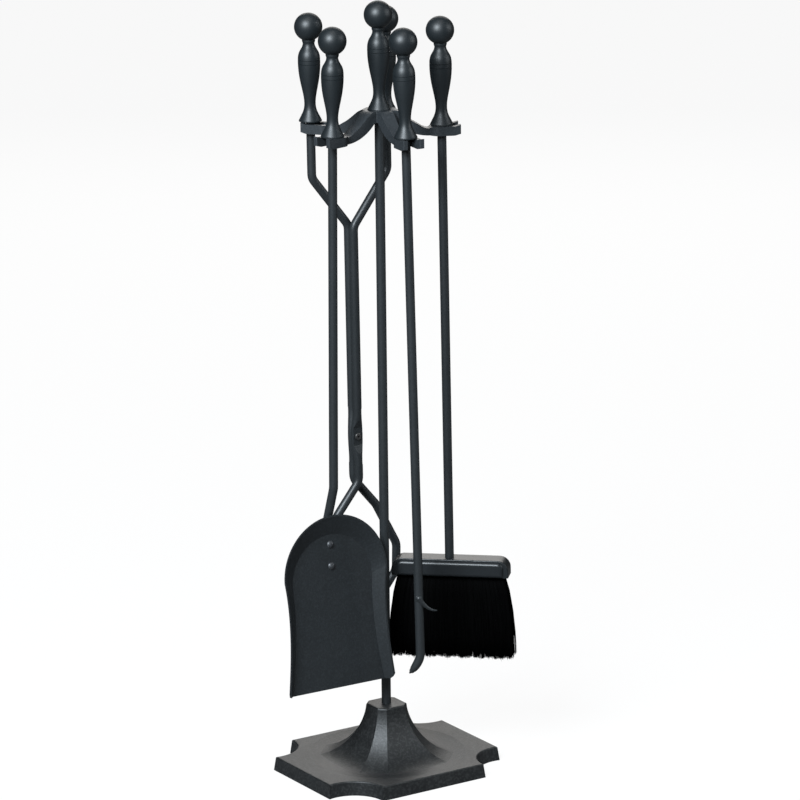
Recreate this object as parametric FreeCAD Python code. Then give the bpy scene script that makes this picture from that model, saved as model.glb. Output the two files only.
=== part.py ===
"""Fireplace tool set: a cast stand with a five-arm rack that holds a shovel, a poker, a brush and tongs.

All sizes are millimetres.  +Z is up, X runs along the long side of the base, the open face of the
shovel looks towards -Y, and the origin is on the floor, below the axis of the post.
"""
import FreeCAD, Part
import math
import os

V = FreeCAD.Vector
UP = V(0, 0, 1)
TINY = 1e-6

# ---- base casting -------------------------------------------------------------------------------
base_length = 202.0            # along X, at the top of the edge
base_width = 173.0             # along Y, at the top of the edge
base_edge = 14.4               # height of the outer edge
base_draft = 1.6               # the foot of the edge stands this much further out
base_wall = 6.0                # thickness of the edge wall
base_roof = 4.6                # thickness of the plate above the hollow, in the dish
base_edge_round = 1.4
notch_along_length = 41.0      # scooped corner, measured along X
notch_along_width = 35.2       # scooped corner, measured along Y
notch_sag = 13.0               # how far the scoop bows in from its chord
dish_depth = 1.8               # shallow ring round the pedestal
dish_outer = 80.0
dish_inner = 34.0
pedestal_height = 67.0
pedestal_top_half = 17.3       # half width of the flat top
pedestal_foot_half = 62.0      # half width where the flare meets the plate
pedestal_facet = 1.149         # distance of a corner facet over the distance of a side
pedestal_wall = 5.5
pedestal_crown = 9.0           # metal left above the hollow, where the post is clamped
pedestal_round = 2.0
flare_rise = 1.65              # exponents of the flare
flare_run = 1.9
flare_steps = 12

# ---- post, washer and nut -----------------------------------------------------------------------
post_diameter = 9.5
post_foot_thread = 8.0
washer_diameter = 19.0
washer_thickness = 2.0
nut_across_flats = 13.0
nut_thickness = 6.5
thread_past_nut = 3.0
hole_clearance = 0.25          # radial clearance of a through hole
fit_clearance = 0.05           # radial clearance of a turned end in its bore

# ---- rack ---------------------------------------------------------------------------------------
fork_top = 661.7               # height of the face that the tools hang on
fork_thickness = 9.2
fork_tip_rise = 1.6            # the prong tips turn up, so that a tool can't slide off
fork_tip_start = 73.5
fork_tip = 79.5                # radius of the prong tips
fork_half_width = 11.25
arm_toe = 4.4                  # the arm climbs to the fork's face over this length
fork_slot = 12.5
slot_centre = 59.5             # radius of the rounded end of a slot
arm_step = 2.2                 # the arm lies this much below the fork's face
arm_root_half = 8.0            # half width of an arm at the hub
arm_half = 4.9                 # half width of an arm at its fork
arm_crest = ((21.0, 14.9), (25.0, 11.5), (29.0, 8.2), (33.0, 5.3), (38.0, 2.4), (43.0, -0.6))
# the arm's upper line: radius, and height above the forks
arm_crest_start = 15.5         # it leaves the hub's top at this radius
arm_under_end = 50.0           # radius where the lower curve ends
hub_radius = 13.3
hub_height = 17.8              # top of the hub above the fork's face
hub_depth = 11.0
hub_round = 1.2
cast_round = 1.0

# ---- handles, all six alike ---------------------------------------------------------------------
handle_height = 108.0
ball_radius = 14.0
flange_radius = 11.4
flange_edge = 1.4
flange_chamfer = 0.3
neck_radius = 5.8
collar_radius = 6.5
collar_height = 1.6
waist_radius = 5.65
belly_radius = 11.05
handle_profile = ((flange_radius - flange_chamfer, flange_edge), (9.0, 5.6), (6.6, 11.0),
                  (waist_radius, 17.0), (6.6, 27.0), (9.2, 40.0), (10.7, 51.0), (belly_radius, 60.0),
                  (10.5, 66.2), (9.4, 69.4), (7.2, 73.2), (neck_radius, 78.0))   # radius, height
groove_depth = 0.5
groove_below_top = (46.5, 50.5)
handle_thread = 6.0
handle_bore_depth = 27.0
thread_in_handle = 24.0

# ---- tools --------------------------------------------------------------------------------------
rod_diameter = 9.0
hang_gap = 0.4                 # the flange hangs this much above the fork's face
shovel_at = (64.3, 192.2)      # radius and angle of the hanging rod
poker_at = (60.6, -97.8)
brush_at = (61.9, -24.5)
shovel_lean = (-0.56, 0.36)    # degrees, towards +X and towards +Y at the lower end
poker_lean = (0.84, -0.55)
brush_lean = (0.58, -0.10)

# ---- shovel -------------------------------------------------------------------------------------
pan_foot = 102.5               # height of the pan's front edge
pan_length = 175.5
pan_pitch = 6.1                # the pan leans forward from its rod by this many degrees
pan_depth = 7.5
pan_sheet = 1.8
pan_half_top = 58.5            # radius of the round end
pan_half_waist = 55.5
pan_half_front = 62.5
floor_back = 19.0              # the floor starts this far below the top of the pan
floor_half_top = 46.5
floor_half_waist = 46.0
floor_half_front = 57.5
waist_at = 109.0               # distance of the waist below the top of the pan
pan_set_forward = 1.95         # top of the pan behind the line of the rod
pan_corner = 7.0               # the ends of the side walls are cut back by this much
pan_corner_inside = 58.5       # the corner cut starts here on the front edge
tang_half_width = 7.4
tang_thickness = 4.4
tang_end = 61.0
rivet_at = (29.4, 51.4)        # distances of the rivets below the top of the pan
rivet_radius = 2.5
rivet_head_radius = 4.0
rivet_head_height = 2.2
rivet_tail_height = 1.2
tang_bend_at = 12.0            # the rod turns down along the pan here, below the pan's top
tang_flat_from = 25.0          # the flat of the tang starts here
tang_bend_round = 15.0
tang_lead = 5.0                # length of round rod below the bend
neck_bend_above = 30.0         # the rod starts to bend back here, above the pan's top

# ---- poker --------------------------------------------------------------------------------------
poker_foot = 117.0
poker_hook_drop = 21.0
poker_hook_reach = 11.0
poker_hook_heading = 147.0     # direction in which the tip points, degrees
poker_hook_power = 1.9         # how late the hook bends
poker_taper = (0.8, 6)         # share of the radius lost at the tip, and how late
poker_hook_steps = 9
barb_height = 195.5            # middle of the barb's root
barb_reach = 17.5
barb_drop = 14.0
barb_root_radius = 3.0
barb_tip_radius = 0.6
barb_side = -123.0             # the barb leaves this side of the rod, degrees
barb_heading = -33.0           # and sweeps round to this direction
barb_bury = 1.2                # the middle of the root is this far inside the rod's surface
barb_steps = 6
barb_power = 1.15              # above 1 the barb leaves the rod slowly

# ---- brush --------------------------------------------------------------------------------------
brush_head_top = 217.6
brush_head_height = 17.8
brush_head_length = 119.0
brush_head_offset = 1.5        # middle of the head past the rod
brush_core_depth = 20.4
brush_panel_proud = 2.8
brush_panel_inset_top = 2.0
brush_panel_inset_end = 4.8
brush_corner_round = 11.0
brush_edge_round = 1.0
brush_panel_corner = 6.0
brush_panel_round = 3.4
brush_cover_wall = 2.2
brush_yaw = -43.0
brush_block_gap = 0.2
brush_bristle_foot = 113.0
bristle_half_length = (54.5, 64.0)
bristle_half_depth = (8.0, 11.5)
bristle_bury = 5.0
bristle_side_gap = 0.5         # between the bristle pack and its channel
brush_nut_flats = 10.0
nut_pocket_gap = 0.1
brush_nut_thickness = 5.0
brush_thread_length = 9.0

# ---- tongs --------------------------------------------------------------------------------------
tongs_middle = (-1.4, 54.3)
tongs_spread = 82.4
tongs_stack = 10.0             # distance between the planes of the two arms
tongs_rest = 2.3               # the tongs rest on the prong tips, this much above the fork's face
tongs_lean = 0.5               # degrees, towards +X at the lower end
tongs_rod = 8.8
tongs_shoulder = 606.0         # height where an arm turns inwards
tongs_gather = 553.0           # height where both arms come together
tongs_pivot = 336.0
tongs_part = 289.0             # height where the jaws part
tongs_bend_round = 13.0
jaw_knee = (50.0, 212.0)       # distance from the middle, and height
jaw_branch = (26.0, 258.0)
jaw_lower = (49.0, 184.0)
jaw_turn = (27.0, 157.0)
jaw_tip = (7.0, 148.0)
jaw_past = 0.15                # the last run is made this much longer, then cut flush with the paw
jaw_bend_round = 16.0
eye_half_width = 6.6
eye_thickness = 5.0
eye_gap = 0.3                  # between the two eyes
eye_reach = 30.0
pivot_pin_radius = 2.5
pivot_head_radius = 3.6
pivot_head_height = 1.3
pivot_bore_radius = 1.25
pivot_head_round = 0.8
pivot_head_gap = 0.1
eye_shoulder_half = 5.3        # half width of an eye halfway to the round rod
eye_shoulder_middle = 3.7      # and its distance from the plane between the arms
eye_flat_half = 9.0            # the flat round the rivet is this long, each way
eye_flat_slope = 2.6
paw_length = 24.0
paw_width = 15.0
paw_thickness = 4.0
paw_round = 1.5
overlap = 0.6                  # fused solids run into each other by this much
swage_inset = 0.2              # a forged flat starts this much slimmer than its round rod


def save(shape, name):
    """Write one piece to its own STEP file."""
    shape.exportStep("parts/" + name + ".step")
    print(name, shape.ShapeType, len(shape.Solids), shape.isValid(), round(shape.Volume, 1))


def polar(radius, angle, z=0.0):
    """Point at a radius and an angle in degrees round the post."""
    a = math.radians(angle)
    return V(radius * math.cos(a), radius * math.sin(a), z)


def fuse(shapes):
    """One clean solid from touching or overlapping solids."""
    return shapes[0].multiFuse(shapes[1:]).removeSplitter()


def prism(points, extrude):
    """Closed polygon, extruded."""
    return Part.Face(Part.makePolygon(points + points[:1])).extrude(extrude)


def cylinder(radius, z_low, z_high, x=0.0, y=0.0):
    return Part.makeCylinder(radius, z_high - z_low, V(x, y, z_low), UP)


def hex_prism(flats, z_low, z_high, x=0.0, y=0.0):
    corner = flats / math.sqrt(3)
    ring = [V(x, y, z_low) + polar(corner, 60 * i) for i in range(6)]
    return prism(ring, V(0, 0, z_high - z_low))


def bent_path(points, radius):
    """Straight runs through the points, joined by tangent arcs of one radius."""
    edges = []
    start = points[0]
    for before, corner, after in zip(points, points[1:], points[2:]):
        into = (corner - before).normalize()
        out = (after - corner).normalize()
        turn = into.getAngle(out)
        cut = radius * math.tan(turn / 2)
        arc_start = corner - into * cut
        arc_end = corner + out * cut
        towards = (out - into).normalize()
        middle = corner + towards * (radius / math.cos(turn / 2) - radius)
        edges.append(Part.LineSegment(start, arc_start).toShape())
        edges.append(Part.Arc(arc_start, middle, arc_end).toShape())
        start = arc_end
    edges.append(Part.LineSegment(start, points[-1]).toShape())
    return Part.Wire(edges)


def round_bar(points, bend_radius, bar_radius):
    """Round bar along a bent path."""
    path = bent_path(points, bend_radius)
    along = points[1] - points[0]
    section = Part.Wire(Part.Circle(points[0], along, bar_radius).toShape())
    return path.makePipeShell([section], True, False)


def swaged_bar(stations, straight_sided=False):
    """Bar along Z through elliptic sections: height, half width in X, half depth in Y, middle in Y."""
    rings = []
    for z, half_x, half_y, y in stations:
        centre = V(0, y, z)
        wide = max(half_x, half_y + 0.001)
        ring = Part.Ellipse(centre + V(wide, 0, 0), centre + V(0, half_y, 0), centre)
        rings.append(Part.Wire(ring.toShape()))
    return Part.makeLoft(rings, True, straight_sided)


def turned_taper(start, end, radius_start, radius_end):
    return Part.makeCone(radius_start, radius_end, (end - start).Length, start, end - start)


def lean_tool(shape, at, lean):
    """Tilt a hanging tool about the point where its rod passes the fork."""
    pivot = V(at.x, at.y, fork_top)
    turned = shape.copy()
    turned.rotate(pivot, V(0, 1, 0), -lean[0])
    turned.rotate(pivot, V(1, 0, 0), lean[1])
    return turned


# ---- base ---------------------------------------------------------------------------------------
def base_outline(z, grow):
    """Rectangle with scooped corners; grow moves the sides and the scoops out by one distance."""
    side_x = base_length / 2 + grow
    side_y = base_width / 2 + grow
    half_chord = math.hypot(notch_along_length, notch_along_width) / 2
    scoop = (half_chord ** 2 + notch_sag ** 2) / (2 * notch_sag)
    outward = V(notch_along_width, notch_along_length, 0).normalize()
    chord_middle = V((base_length - notch_along_length) / 2, (base_width - notch_along_width) / 2, 0)
    centre = chord_middle + outward * (scoop - notch_sag)
    radius = scoop - grow
    end_y = centre.y - math.sqrt(radius ** 2 - (side_x - centre.x) ** 2)
    end_x = centre.x - math.sqrt(radius ** 2 - (side_y - centre.y) ** 2)
    deepest = centre - outward * radius
    arcs = []
    for sx, sy in ((1, 1), (-1, 1), (-1, -1), (1, -1)):
        on_side = V(sx * side_x, sy * end_y, z)
        on_end = V(sx * end_x, sy * side_y, z)
        middle = V(sx * deepest.x, sy * deepest.y, z)
        if sx * sy > 0:
            first, last = on_side, on_end
        else:
            first, last = on_end, on_side
        arcs.append(Part.Arc(first, middle, last).toShape())
    joined = []
    for arc, following in zip(arcs, arcs[1:] + arcs[:1]):
        joined.append(arc)
        joined.append(Part.LineSegment(arc.Vertexes[-1].Point, following.Vertexes[0].Point).toShape())
    return Part.Wire(joined)


def flare_width(height, top_half, foot_half, z_foot, z_top):
    """Half width of the flared pedestal at a height."""
    down = (z_top - height) / (z_top - z_foot)
    return top_half + (foot_half - top_half) * (1 - (1 - down ** flare_rise) ** (1 / flare_run))


def flare_prism(turn, scale, top_half, foot_half, z_foot, z_top, z_below):
    """Bar with the flared profile on two sides, turned about Z."""
    side = []
    for i in range(flare_steps + 1):
        down = math.sin(math.pi / 2 * i / flare_steps)
        z = z_top - (z_top - z_foot) * down
        side.append(V(scale * flare_width(z, top_half, foot_half, z_foot, z_top), 0, z))
    curve = Part.BSplineCurve()
    curve.interpolate(side)
    mirrored = [V(-p.x, 0, p.z) for p in reversed(side)]
    other = Part.BSplineCurve()
    other.interpolate(mirrored)
    foot_right = V(side[-1].x, 0, z_below)
    foot_left = V(-side[-1].x, 0, z_below)
    profile = Part.Wire([curve.toShape(),
                         Part.LineSegment(side[-1], foot_right).toShape(),
                         Part.LineSegment(foot_right, foot_left).toShape(),
                         Part.LineSegment(foot_left, mirrored[0]).toShape(),
                         other.toShape(),
                         Part.LineSegment(mirrored[-1], side[0]).toShape()])
    reach = 2 * foot_half
    bar = Part.Face(profile).extrude(V(0, 2 * reach, 0))
    bar.translate(V(0, -reach, 0))
    bar.rotate(V(0, 0, 0), UP, turn)
    return bar


def flared_pedestal(top_half, foot_half, z_foot, z_top, z_below):
    """Eight-sided flare: two crossed bars for the sides and two for the corner facets."""
    sides = [flare_prism(turn, 1.0, top_half, foot_half, z_foot, z_top, z_below) for turn in (0, 90)]
    facets = [flare_prism(turn, pedestal_facet, top_half, foot_half, z_foot, z_top, z_below)
              for turn in (45, 135)]
    return sides[0].common(sides[1]).common(facets[0]).common(facets[1])


def base_casting():
    """Hollow plate with scooped corners, and the flared pedestal that takes the post."""
    plate = Part.makeLoft([base_outline(0, base_draft), base_outline(base_edge, 0)], True, True)
    top_edges = [e for e in plate.Edges if all(abs(v.Z - base_edge) < TINY for v in e.Vertexes)]
    plate = plate.makeFillet(base_edge_round, top_edges)
    dish_middle = (dish_outer + dish_inner) / 2
    dish = Part.Wire([Part.Arc(V(dish_inner, 0, base_edge), V(dish_middle, 0, base_edge - dish_depth),
                               V(dish_outer, 0, base_edge)).toShape(),
                      Part.LineSegment(V(dish_outer, 0, base_edge), V(dish_inner, 0, base_edge)).toShape()])
    plate = plate.cut(Part.Face(dish).revolve(V(0, 0, 0), UP, 360))
    dish_floor = base_edge - dish_depth
    outer = flared_pedestal(pedestal_top_half, pedestal_foot_half, dish_floor, pedestal_height,
                            base_edge / 2)
    crown = [e for e in outer.Edges if all(abs(v.Z - pedestal_height) < TINY for v in e.Vertexes)]
    outer = outer.makeFillet(pedestal_round, crown)
    body = plate.fuse(outer)
    roof = dish_floor - base_roof
    hollow = Part.Face(base_outline(-1, -base_wall)).extrude(V(0, 0, roof + 1))
    inner = flared_pedestal(pedestal_top_half - pedestal_wall, pedestal_foot_half - pedestal_wall,
                            roof, pedestal_height - pedestal_crown, roof - 2)
    hole = cylinder(post_foot_thread / 2 + hole_clearance, 0, pedestal_height + 1)
    return body.cut(hollow).cut(inner).cut(hole).removeSplitter()


def post():
    """Round post with a threaded foot for the nut and a threaded top for the stand handle."""
    clamp = pedestal_height - pedestal_crown
    foot = clamp - washer_thickness - nut_thickness - thread_past_nut
    hub_under = fork_top + hub_height - hub_depth
    hub_top = fork_top + hub_height
    return fuse([cylinder(post_foot_thread / 2, foot, pedestal_height),
                 cylinder(post_diameter / 2, pedestal_height, hub_under),
                 cylinder(handle_thread / 2, hub_under, hub_top + thread_in_handle)])


def base_washer():
    clamp = pedestal_height - pedestal_crown
    ring = cylinder(washer_diameter / 2, clamp - washer_thickness, clamp)
    return ring.cut(cylinder(post_foot_thread / 2 + hole_clearance, 0, clamp))


def base_nut():
    top = pedestal_height - pedestal_crown - washer_thickness
    body = hex_prism(nut_across_flats, top - nut_thickness, top)
    return body.cut(cylinder(post_foot_thread / 2 + fit_clearance, 0, top))


# ---- rack ---------------------------------------------------------------------------------------
def rack_arm_side():
    """Side profile of an arm and its fork, in the XZ plane."""
    top = fork_top + hub_height
    arm_top = fork_top - arm_step
    under = fork_top - fork_thickness
    hub_under = top - hub_depth
    run = arm_under_end - hub_radius
    climb = hub_under - under
    under_radius = (run * run + climb * climb) / (2 * climb)
    half_turn = math.asin(run / under_radius) / 2
    under_middle = V(arm_under_end - under_radius * math.sin(half_turn), 0,
                     under + under_radius * (1 - math.cos(half_turn)))
    ramp = slot_centre - fork_half_width
    corners = [V(0, 0, hub_under), V(0, 0, top), V(arm_crest_start, 0, top)]
    crest = Part.BSplineCurve()
    crest.interpolate([corners[2]] + [V(r, 0, fork_top + rise) for r, rise in arm_crest]
                      + [V(ramp, 0, arm_top)])
    edges = [Part.LineSegment(corners[0], corners[1]).toShape(),
             Part.LineSegment(corners[1], corners[2]).toShape(), crest.toShape()]
    outline = [V(ramp, 0, arm_top), V(ramp + arm_toe, 0, fork_top),
               V(fork_tip_start, 0, fork_top), V(fork_tip, 0, fork_top + fork_tip_rise),
               V(fork_tip, 0, under + fork_tip_rise), V(fork_tip_start, 0, under),
               V(arm_under_end, 0, under)]
    for a, b in zip(outline, outline[1:]):
        edges.append(Part.LineSegment(a, b).toShape())
    hub_corner = V(hub_radius, 0, hub_under)
    edges.append(Part.Arc(outline[-1], under_middle, hub_corner).toShape())
    edges.append(Part.LineSegment(hub_corner, corners[0]).toShape())
    return Part.Face(Part.Wire(edges))


def upright_edge_at(edge, x):
    """True for an edge that runs up and down at this X."""
    ends = edge.Vertexes
    return all(abs(v.X - x) < TINY for v in ends) and abs(ends[0].Y - ends[-1].Y) < TINY


def rack_arm(angle):
    """One arm that sweeps down from the hub and ends in an open fork."""
    low = fork_top - 2 * fork_thickness
    high = fork_top + 2 * hub_height
    arm = prism([V(0, -arm_root_half, low), V(slot_centre, -arm_half, low),
                 V(slot_centre, arm_half, low), V(0, arm_root_half, low)], V(0, 0, high - low))
    heel = cylinder(fork_half_width, low, high, slot_centre)
    prongs = Part.makeBox(fork_tip - slot_centre, 2 * fork_half_width, high - low,
                          V(slot_centre, -fork_half_width, low))
    plan = fuse([arm, heel, prongs])
    plan = plan.cut(cylinder(fork_slot / 2, low, high, slot_centre))
    plan = plan.cut(Part.makeBox(fork_tip, fork_slot, high - low, V(slot_centre, -fork_slot / 2, low)))
    side = rack_arm_side().extrude(V(0, 4 * fork_half_width, 0))
    side.translate(V(0, -2 * fork_half_width, 0))
    shape = plan.common(side)
    shape = shape.makeFillet(cast_round, [e for e in shape.Edges if upright_edge_at(e, fork_tip)])
    shape.rotate(V(0, 0, 0), UP, angle)
    return shape


def tongs_hang_points():
    """Places of the two tongs rods on the rack: front arm on the right, back arm on the left."""
    front = V(tongs_middle[0] + tongs_spread / 2, tongs_middle[1] - tongs_stack / 2, 0)
    back = V(tongs_middle[0] - tongs_spread / 2, tongs_middle[1] + tongs_stack / 2, 0)
    return front, back


def arm_angles():
    """Directions of the five arms, from the places of the tools."""
    pairs = [math.degrees(math.atan2(p.y, p.x)) for p in tongs_hang_points()]
    return [shovel_at[1], poker_at[1], brush_at[1]] + pairs


def rack_casting():
    """Hub on the post's shoulder with five arms round it."""
    top = fork_top + hub_height
    hub = cylinder(hub_radius, top - hub_depth, top)
    rim = [e for e in hub.Edges if len(e.Vertexes) == 1 and abs(e.Vertexes[0].Z - top) < TINY]
    hub = hub.makeFillet(hub_round, rim)
    body = fuse([hub] + [rack_arm(angle) for angle in arm_angles()])
    return body.cut(cylinder(handle_thread / 2 + hole_clearance, 0, top + 1))


# ---- handles ------------------------------------------------------------------------------------
def handle(z_low, x=0.0, y=0.0):
    """Turned handle: flange, slender waist, belly with two grooves, neck and ball."""
    ball_middle = handle_height - ball_radius
    collar_top = ball_middle - math.sqrt(ball_radius ** 2 - collar_radius ** 2)
    points = [V(r, 0, z) for r, z in handle_profile]
    curve = Part.BSplineCurve()
    curve.interpolate(points)
    ball_low = V(collar_radius, 0, collar_top)
    ball_side = V(ball_radius, 0, ball_middle)
    top = V(0, 0, handle_height)
    collar = V(collar_radius, 0, collar_top - collar_height)
    flange_top = V(flange_radius, 0, flange_edge - flange_chamfer)
    profile = Part.Wire([Part.LineSegment(V(0, 0, 0), V(flange_radius, 0, 0)).toShape(),
                         Part.LineSegment(V(flange_radius, 0, 0), flange_top).toShape(),
                         Part.LineSegment(flange_top, points[0]).toShape(),
                         curve.toShape(),
                         Part.LineSegment(points[-1], collar).toShape(),
                         Part.LineSegment(collar, ball_low).toShape(),
                         Part.Arc(ball_low, ball_side, top).toShape(),
                         Part.LineSegment(top, V(0, 0, 0)).toShape()])
    body = Part.Face(profile).revolve(V(0, 0, 0), UP, 360)
    for below in groove_below_top:
        middle = handle_height - below
        wedge = Part.makePolygon([V(belly_radius - groove_depth, 0, middle),
                                  V(belly_radius + groove_depth, 0, middle + groove_depth),
                                  V(belly_radius + groove_depth, 0, middle - groove_depth),
                                  V(belly_radius - groove_depth, 0, middle)])
        body = body.cut(Part.Face(wedge).revolve(V(0, 0, 0), UP, 360))
    body = body.cut(cylinder(handle_thread / 2 + fit_clearance, -1, handle_bore_depth))
    body.translate(V(x, y, z_low))
    return body


def threaded_top(x, y, shoulder):
    """Thin threaded end of a rod, above its shoulder."""
    return cylinder(handle_thread / 2, shoulder, shoulder + thread_in_handle, x, y)


# ---- shovel -------------------------------------------------------------------------------------
def pan_frame():
    """Placement of the pan: X across, Y to the back, -Z down the pan, origin at the top of its rim."""
    at = polar(*shovel_at)
    pitch = math.radians(pan_pitch)
    top = pan_foot + pan_length * math.cos(pitch)
    turn = FreeCAD.Rotation(V(1, 0, 0), -pan_pitch)
    return FreeCAD.Placement(V(at.x, at.y + pan_set_forward, top), turn)


def pan_outline(depth, start, half_top, half_waist, half_front, length):
    """Round end, slight waist and wider front; depth is the place along Y."""
    left = [V(-half_top, depth, -(start + half_top)), V(-half_waist, depth, -waist_at),
            V(-(half_waist + (half_front - half_waist) * 0.35), depth, -(waist_at + length) / 2),
            V(-half_front, depth, -length)]
    right = [V(-p.x, p.y, p.z) for p in left]
    side_left = Part.BSplineCurve()
    side_left.interpolate(Points=list(reversed(left)))
    side_right = Part.BSplineCurve()
    side_right.interpolate(Points=right)
    return Part.Wire([side_left.toShape(),
                      Part.Arc(left[0], V(0, depth, -start), right[0]).toShape(),
                      side_right.toShape(),
                      Part.LineSegment(right[-1], left[-1]).toShape()])


def pan_body(skin, front_extra):
    """Solid tray; skin grows it on the walls and the floor."""
    length = pan_length + front_extra
    rim = pan_outline(0, -skin, pan_half_top + skin, pan_half_waist + skin, pan_half_front + skin, length)
    floor = pan_outline(pan_depth + skin, floor_back - skin / 2, floor_half_top + skin / 2,
                        floor_half_waist + skin / 2, floor_half_front + skin / 2, length)
    return Part.makeLoft([rim, floor], True, True)


def rivet_hole(down):
    """Hole through pan and tang, at a distance below the top of the pan."""
    return Part.makeCylinder(rivet_radius + fit_clearance, 4 * pan_depth, V(0, 0, -down), V(0, 1, 0))


def shovel_pan():
    """Pressed sheet pan with sloped walls at the back and sides, open at the front."""
    outer = pan_body(pan_sheet, pan_depth)
    inner = pan_body(0, 2 * pan_depth)
    wide = 2 * pan_half_front
    front = Part.makeBox(2 * wide, wide, wide, V(-wide, -wide / 2, -pan_length - wide))
    tray = outer.cut(inner).cut(front)
    for side in (-1, 1):
        climb = pan_corner / (pan_half_front + pan_sheet - pan_corner_inside)
        corner = prism([V(side * pan_corner_inside, -1, -pan_length), V(side * wide, -1, -pan_length),
                        V(side * wide, -1, -pan_length + climb * (wide - pan_corner_inside))],
                       V(0, 2 * pan_depth, 0))
        tray = tray.cut(corner)
    for down in rivet_at:
        tray = tray.cut(rivet_hole(down))
    tray.Placement = pan_frame()
    return lean_tool(tray, polar(*shovel_at), shovel_lean)


def shovel_rod():
    """Round rod that bends back behind the pan and ends in a flattened tang."""
    at = polar(*shovel_at)
    frame = pan_frame()
    radius = rod_diameter / 2
    back = pan_depth + pan_sheet
    joint = frame.multVec(V(0, back + radius, -tang_bend_at))
    tang_start = frame.multVec(V(0, back + radius, -tang_bend_at - tang_lead))
    neck = V(at.x, at.y, frame.Base.z + neck_bend_above)
    shoulder = fork_top + hang_gap
    bar = round_bar([V(at.x, at.y, shoulder), neck, joint, tang_start], tang_bend_round, radius)
    round_end = -tang_bend_at - tang_lead + overlap
    flat_half = tang_thickness * 0.7
    tang = swaged_bar([(round_end, radius - swage_inset, radius - swage_inset, back + radius),
                       ((round_end - tang_flat_from) / 2, tang_half_width * 0.9, radius * 0.8,
                        back + radius * 0.7),
                       (-tang_flat_from, tang_half_width, flat_half, back + tang_thickness / 2),
                       (-tang_end, tang_half_width, flat_half, back + tang_thickness / 2)], True)
    flat = prism([V(-2 * tang_half_width, back, -2 * tang_end), V(-2 * tang_half_width, back, 0),
                  V(-2 * tang_half_width, back + 4 * radius, 0),
                  V(-2 * tang_half_width, back + 4 * radius, round_end),
                  V(-2 * tang_half_width, back + tang_thickness, -tang_flat_from),
                  V(-2 * tang_half_width, back + tang_thickness, -2 * tang_end)],
                 V(4 * tang_half_width, 0, 0))
    tang = tang.common(flat)
    for down in rivet_at:
        tang = tang.cut(rivet_hole(down))
    tang.Placement = frame
    rod = fuse([threaded_top(at.x, at.y, shoulder), bar, tang])
    return lean_tool(rod, at, shovel_lean)


def shovel_rivets():
    """Two rivets with domed heads in the pan and flat heads behind the tang."""
    back = pan_depth + pan_sheet + tang_thickness
    rivets = []
    dome_radius = (rivet_head_radius ** 2 + rivet_head_height ** 2) / (2 * rivet_head_height)
    for down in rivet_at:
        shank = Part.makeCylinder(rivet_radius, back - pan_depth, V(0, pan_depth, -down), V(0, 1, 0))
        ball = Part.makeSphere(dome_radius, V(0, pan_depth - rivet_head_height + dome_radius, -down))
        front = Part.makeBox(4 * dome_radius, 4 * dome_radius, 4 * dome_radius,
                             V(-2 * dome_radius, pan_depth - 4 * dome_radius, -down - 2 * dome_radius))
        cap = ball.common(front)
        tail = Part.makeCylinder(rivet_head_radius, rivet_tail_height, V(0, back, -down), V(0, 1, 0))
        rivet = fuse([shank, cap, tail])
        rivet.Placement = pan_frame()
        rivets.append(lean_tool(rivet, polar(*shovel_at), shovel_lean))
    return Part.makeCompound(rivets)


# ---- poker --------------------------------------------------------------------------------------
def horn(points, radii):
    """Round bar of changing radius through the points: tapers joined by balls."""
    pieces = [Part.makeSphere(radii[0], points[0])]
    for i in range(len(points) - 1):
        pieces.append(turned_taper(points[i], points[i + 1], radii[i], radii[i + 1]))
        pieces.append(Part.makeSphere(radii[i + 1], points[i + 1]))
    return fuse(pieces)


def poker_rod():
    """Long rod whose end curves to a point."""
    at = polar(*poker_at)
    radius = rod_diameter / 2
    shoulder = fork_top + hang_gap
    bend = V(at.x, at.y, poker_foot + poker_hook_drop)
    heading = polar(1, poker_hook_heading)
    lost, late = poker_taper
    points = []
    radii = []
    for i in range(poker_hook_steps + 1):
        t = i / poker_hook_steps
        out = heading * (poker_hook_reach * t ** poker_hook_power)
        points.append(bend + out - UP * (poker_hook_drop * t))
        radii.append(radius * (1 - lost * t ** late))
    straight = cylinder(radius, bend.z, shoulder, at.x, at.y)
    rod = fuse([threaded_top(at.x, at.y, shoulder), straight, horn(points, radii)])
    return lean_tool(rod, at, poker_lean)


def poker_barb():
    """Curved barb welded to the front of the rod, sweeping out to one side."""
    at = polar(*poker_at)
    front = polar(1, barb_side)
    heading = polar(1, barb_heading)
    points = []
    radii = []
    for i in range(barb_steps + 1):
        t = i / barb_steps
        out = front * ((rod_diameter / 2 - barb_bury) * (1 - t))
        out = out + heading * (barb_reach * t ** barb_power)
        points.append(V(at.x, at.y, barb_height - barb_drop * math.sin(math.pi / 2 * t)) + out)
        radii.append(barb_root_radius + (barb_tip_radius - barb_root_radius) * t)
    barb = horn(points, radii).cut(cylinder(rod_diameter / 2, 0, fork_top, at.x, at.y))
    return lean_tool(barb, at, poker_lean)


# ---- brush --------------------------------------------------------------------------------------
def brush_place(shape):
    """Turn a piece of the head to its heading, and hang it on the brush rod."""
    at = polar(*brush_at)
    placed = shape.copy()
    placed.translate(V(brush_head_offset, 0, 0))
    placed.rotate(V(0, 0, 0), UP, brush_yaw)
    placed.translate(at)
    return lean_tool(placed, at, brush_lean)


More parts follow.
